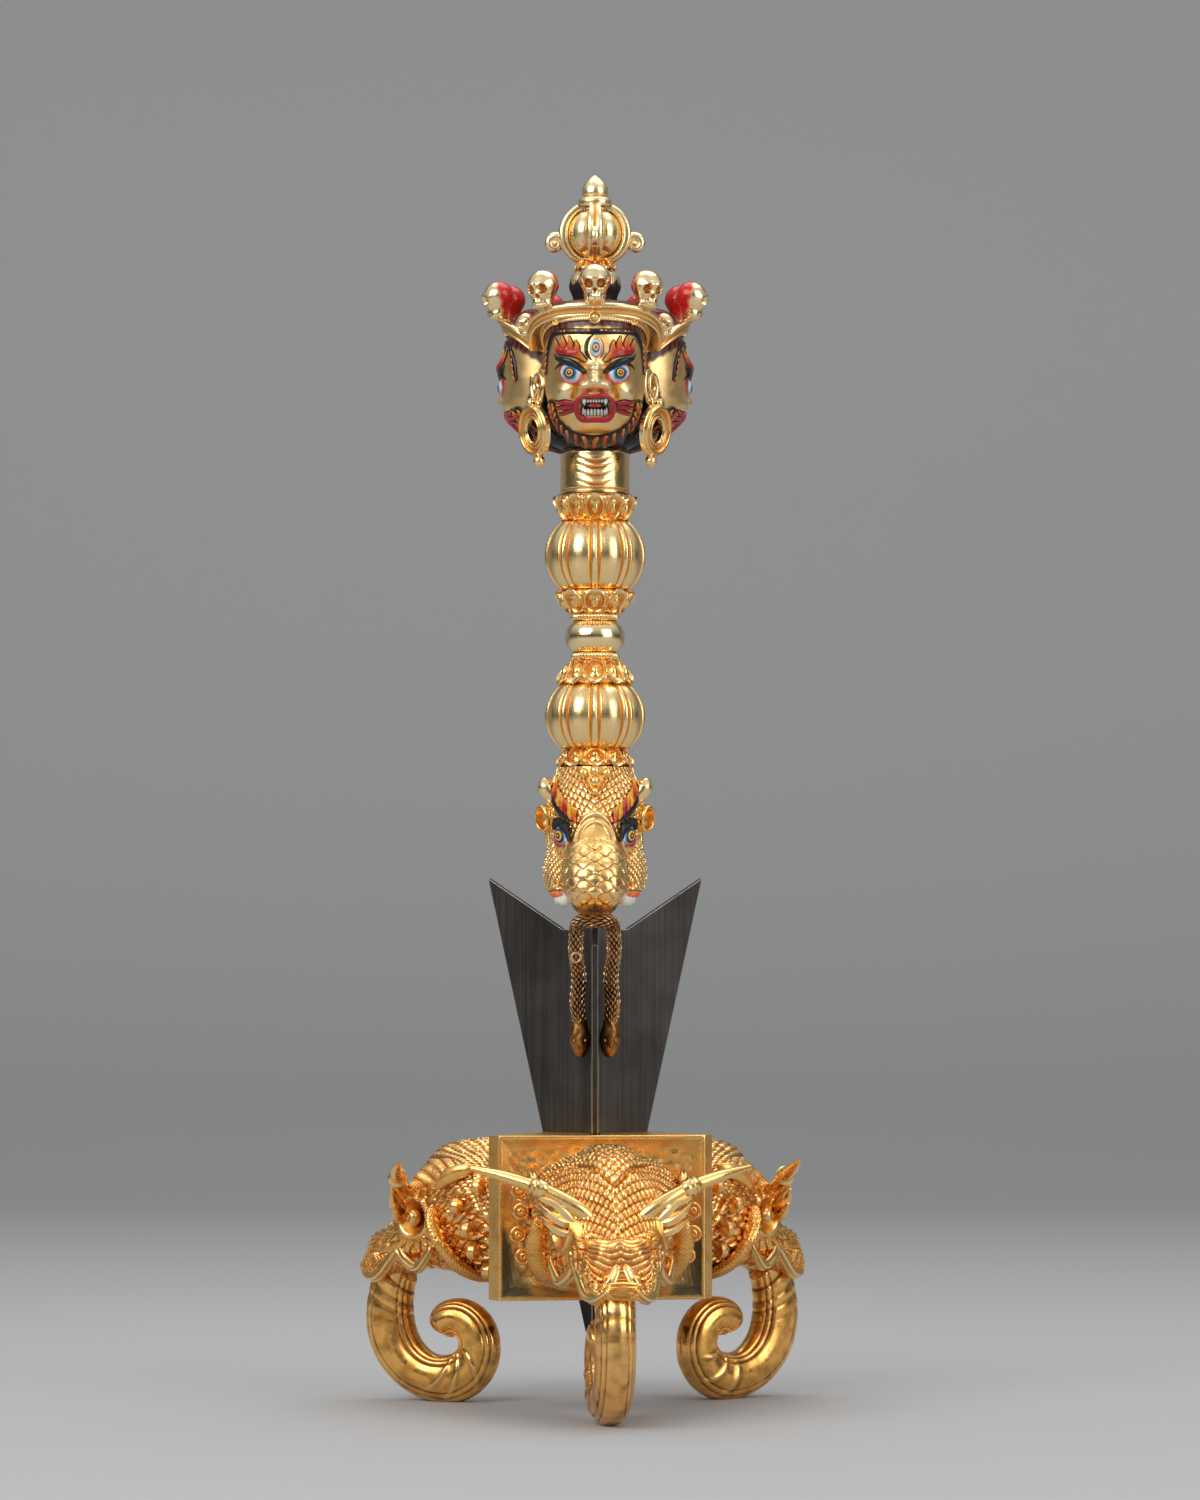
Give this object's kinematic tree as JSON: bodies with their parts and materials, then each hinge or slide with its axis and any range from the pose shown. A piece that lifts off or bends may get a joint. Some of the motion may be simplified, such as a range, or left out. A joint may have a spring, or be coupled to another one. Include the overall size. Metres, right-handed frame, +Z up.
{
  "type": "phurba ritual dagger on a three-footed stand",
  "caption": "Gilt ritual dagger with a three-faced head, melon and lotus handle and dark blades, standing in a gilt tripod stand of monster heads with trunk scroll legs.",
  "frame": {"origin": "on the dagger's axis, in the plane of the table that the three feet stand on", "axes": "+Z up along the dagger, the dagger's front face looks along -Y, +X to the viewer's right"},
  "size_m": [0.1133, 0.1144, 0.31],
  "materials": {
    "bright_gold": "polished fire gilding, warm in the recesses",
    "chased_gold": "chased and gilded casting with dark recesses",
    "painted_gold": "gilded with painted features",
    "dark_steel": "blackened, smooth",
    "bronze": "brown patina, knurled",
    "tooth_enamel": "white paint",
    "hair_lacquer": "brown gilding over a black painted root"
  },
  "bodies": {
    "stand": {"top_plate": "bright_gold", "socket_cone": "chased_gold", "corner_strips": "chased_gold", "face_plate_front": "bright_gold", "face_plate_right": "bright_gold", "face_plate_left": "bright_gold", "monster_front": "chased_gold", "monster_right": "chased_gold", "monster_left": "chased_gold", "horns_front": "chased_gold", "horns_right": "chased_gold", "horns_left": "chased_gold", "mane_front": "chased_gold", "mane_right": "chased_gold", "mane_left": "chased_gold", "lip_front": "bright_gold", "lip_right": "bright_gold", "lip_left": "bright_gold", "trunk_leg_front": "bright_gold", "trunk_leg_right": "bright_gold", "trunk_leg_left": "bright_gold"},
    "dagger": {"blade_front": "dark_steel", "blade_right": "dark_steel", "blade_left": "dark_steel", "tang_rod": "dark_steel", "beast_head": "painted_gold", "beast_ears": "chased_gold", "beast_fangs": "tooth_enamel", "beast_mane": "chased_gold", "snake_yoke": "bronze", "snake_right": "bronze", "snake_left": "bronze", "lotus_beast": "bright_gold", "melon_low": "bright_gold", "lotus_low": "bright_gold", "bead_ring_low": "bright_gold", "ball": "bright_gold", "bead_ring_high": "bright_gold", "lotus_high": "bright_gold", "melon_high": "bright_gold", "lotus_neck": "bright_gold", "neck": "bright_gold", "head": "painted_gold", "ears": "chased_gold", "earrings": "bright_gold", "crown_band": "bright_gold", "crown_cord": "chased_gold", "crown_jewels": "bright_gold", "skulls_front": "bright_gold", "skulls_right": "bright_gold", "skulls_left": "bright_gold", "small_skulls": "bright_gold", "topknot": "hair_lacquer", "finial_collar": "bright_gold", "finial_bud": "bright_gold", "finial_prongs": "bright_gold", "finial_tip": "bright_gold"}
  },
  "joints": [
    {"name": "dagger_lift", "type": "slide", "parent": "stand", "child": "dagger", "axis": [0, 0, 1], "range_m": [0, 0.062]}
  ]
}
